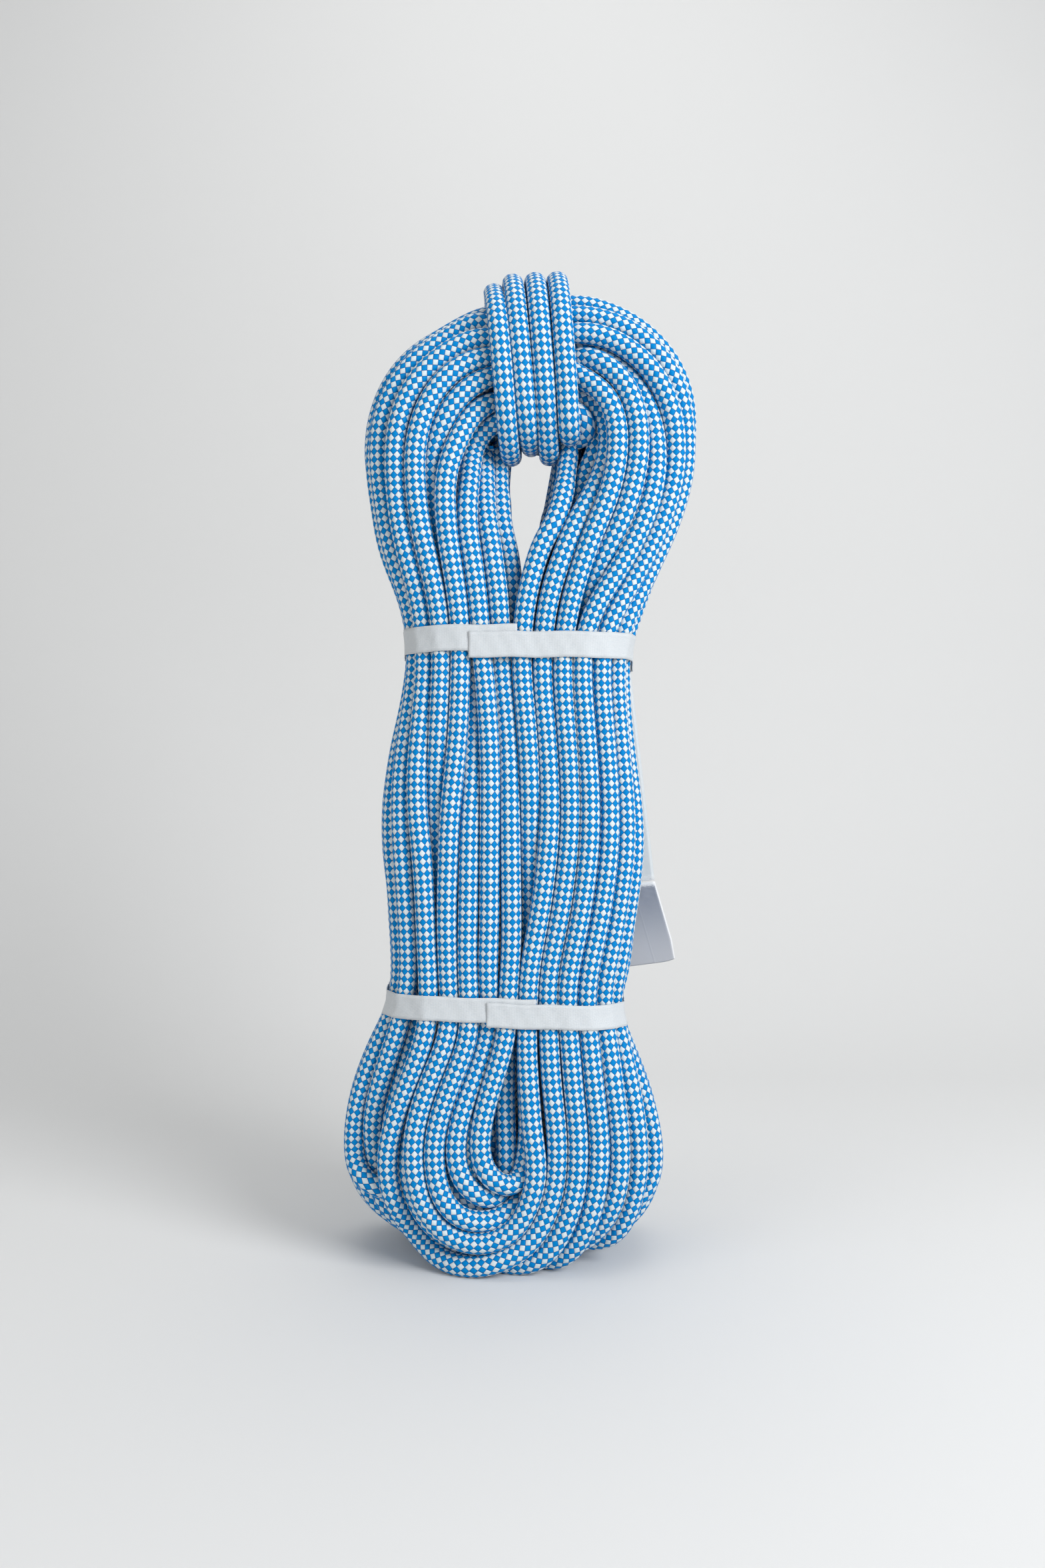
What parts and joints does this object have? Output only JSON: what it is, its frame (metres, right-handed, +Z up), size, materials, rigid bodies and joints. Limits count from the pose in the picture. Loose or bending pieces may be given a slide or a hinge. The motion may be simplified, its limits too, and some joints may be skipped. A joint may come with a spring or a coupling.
{
  "type": "dynamic climbing rope",
  "caption": "Dynamic climbing rope wound as a standing hank, held by two tapes and wrapped round its crown, with a folded card leaflet tucked behind.",
  "frame": {"origin": "middle of the box's floor face: the hank stands on z = 0, on the level stretches of its lowest loops", "axes": "+Z up along the loops, +X to the hank's right as its front is seen, the front faces -Y"},
  "size_m": [0.1834, 0.116, 0.4938],
  "materials": {
    "rope_sheath": "blue and white braided polyamide sheath, matte with a silky sheen",
    "rope_sheath_inner": "the same sheath, shaded inside the hank",
    "rope_core": "white polyamide core strands, melted at the cut",
    "end_sleeve": "shrunk plastic sleeve, semi-matte, bare",
    "tape": "white woven tape, semi-matte, bare",
    "card": "pale silver-grey coated card, semi-matte, bare"
  },
  "bodies": {
    "hank": {"rope_turns": "rope_sheath", "rope_inner_turns": "rope_sheath_inner", "rope_end_core": "rope_core", "rope_end_sleeve": "end_sleeve", "upper_tape": "tape", "lower_tape": "tape", "leaflet_upper_leaf": "card"},
    "lower_leaf": {"leaflet_lower_leaf": "card"}
  },
  "joints": [
    {"name": "leaflet_crease", "type": "hinge", "parent": "hank", "child": "lower_leaf", "pos_m": [0.03932, 0.04686, 0.18285], "axis": [0.9936, 0, 0.1132], "range_deg": [-12, 150]}
  ]
}
